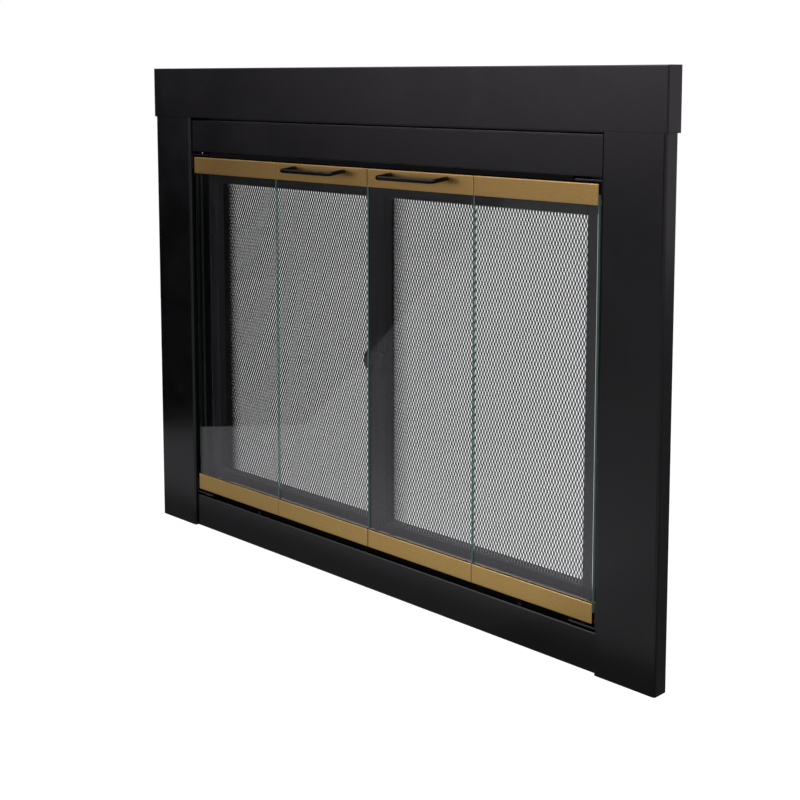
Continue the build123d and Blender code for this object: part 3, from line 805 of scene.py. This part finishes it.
class FIREPLACE_OT_stage(Operator):
    """Sets the floor, the studio light and the camera"""

    bl_idname = "fireplace.stage"
    bl_label = "Stage"

    def execute(self, context):
        scene = context.scene
        scene.view_settings.view_transform = "Standard"
        settings = scene.fireplace_stage
        self.floor(settings)
        self.room(scene, settings)
        self.lamps(settings)
        self.camera(scene, settings)
        return {"FINISHED"}

    def floor(self, settings):
        """A wide sheet with a notch at the left, where the darker room shows in the glass."""
        clear_selection()
        bpy.ops.mesh.primitive_circle_add(
            vertices=len(FLOOR_OUTLINE), radius=1.0, fill_type="NGON")
        floor = bpy.context.object
        floor.name = floor.data.name = "floor"
        for point, corner in zip(floor.data.vertices, FLOOR_OUTLINE):
            point.co = (*corner, 0.0)
        floor.data.update()
        floor.data.materials.append(floor_paper("floor_paper", settings))

    def room(self, scene, settings):
        """White behind the doors, and a grey room in front that is darker to the left."""
        world = bpy.data.worlds.new("studio")
        world.use_nodes = True
        scene.world = world
        tree = world.node_tree
        way = place(tree, "ShaderNodeSeparateXYZ")
        tree.links.new(place(tree, "ShaderNodeTexCoord").outputs["Generated"], way.inputs[0])
        x, y, z = way.outputs
        front = combine(tree, "MULTIPLY",
                        ramp(tree, x, *ROOM_LEFT, settings.room_dark, settings.room_light),
                        ramp(tree, x, *ROOM_RIGHT, 1.0, ROOM_RIGHT_SHARE),
                        ramp(tree, z, *ROOM_FOOT, *ROOM_FOOT_SHARES),
                        ramp(tree, z, *ROOM_TOP, 1.0, ROOM_TOP_SHARE))
        behind = ramp(tree, y, *BACKDROP_START, 0.0, settings.backdrop)
        right = ramp(tree, x, *RIGHT_WALL_START, 0.0, settings.backdrop)
        ceiling = combine(tree, "MULTIPLY",
                          ramp(tree, z, *CEILING_START, 0.0, settings.ceiling),
                          ramp(tree, x, *CEILING_LEFT, CEILING_LEFT_SHARE, 1.0))
        glow = combine(tree, "MULTIPLY", combine(tree, "MAXIMUM", ceiling, right), mirrored(tree))
        direct = looked_at(tree, ROOM_TURNS)
        feed(tree, tree.nodes["Background"],
             Strength=combine(tree, "MAXIMUM", front, behind, glow, direct),
             Color=blend_colours(tree, direct, settings.room_tint, WHITE))

    def lamps(self, settings):
        """Wide soft lamps from above and from the front."""
        for name, spot, aim, width, share in LAMPS:
            clear_selection()
            bpy.ops.object.light_add(type="AREA", location=spot)
            lamp = bpy.context.object
            lamp.name = lamp.data.name = name
            lamp.data.size = width
            lamp.data.energy = settings.lamp_power * share
            beam = Vector(aim) - Vector(spot)
            lamp.rotation_euler = beam.to_track_quat("-Z", "Y").to_euler()

    def camera(self, scene, settings):
        """Looks at the doors from the right, at the height of the hood."""
        clear_selection()
        bpy.ops.object.camera_add(location=settings.eye,
                                  rotation=(math.pi / 2 - settings.pitch, 0, settings.yaw))
        camera = bpy.context.object
        camera.name = camera.data.name = "photo_camera"
        camera.data.sensor_width = SENSOR_WIDTH
        camera.data.lens = settings.lens
        camera.data.shift_y = settings.lift
        camera.data.clip_end = FAR_END
        scene.camera = camera


# Panel


class FIREPLACE_PT_doors(Panel):
    """Lists the steps that dress the door set"""

    bl_idname = "FIREPLACE_PT_doors"
    bl_label = "Fireplace Door Set"
    bl_space_type = "VIEW_3D"
    bl_region_type = "UI"
    bl_category = "Fireplace"

    def draw(self, context):
        for operator, settings in STEPS:
            box = self.layout.box()
            box.operator(operator.bl_idname)
            group = getattr(context.scene, settings)
            for name in group.__annotations__:
                box.prop(group, name)


STEPS = (
    (FIREPLACE_OT_finishes, "fireplace_finishes"),
    (FIREPLACE_OT_panes, "fireplace_panes"),
    (FIREPLACE_OT_nets, "fireplace_nets"),
    (FIREPLACE_OT_stage, "fireplace_stage"),
)

GROUPS = {
    "fireplace_finishes": FinishSettings,
    "fireplace_panes": PaneSettings,
    "fireplace_nets": NetSettings,
    "fireplace_stage": StageSettings,
}

CLASSES = (*GROUPS.values(), *(operator for operator, settings in STEPS), FIREPLACE_PT_doors)


def register():
    for cls in CLASSES:
        bpy.utils.register_class(cls)
    for name, group in GROUPS.items():
        setattr(bpy.types.Scene, name, PointerProperty(type=group))


def unregister():
    for name in GROUPS:
        delattr(bpy.types.Scene, name)
    for cls in reversed(CLASSES):
        bpy.utils.unregister_class(cls)


def main():
    register()
    bpy.ops.fireplace.finishes()
    bpy.ops.fireplace.panes()
    bpy.ops.fireplace.nets()
    bpy.ops.fireplace.stage()


if __name__ == "__main__":
    main()
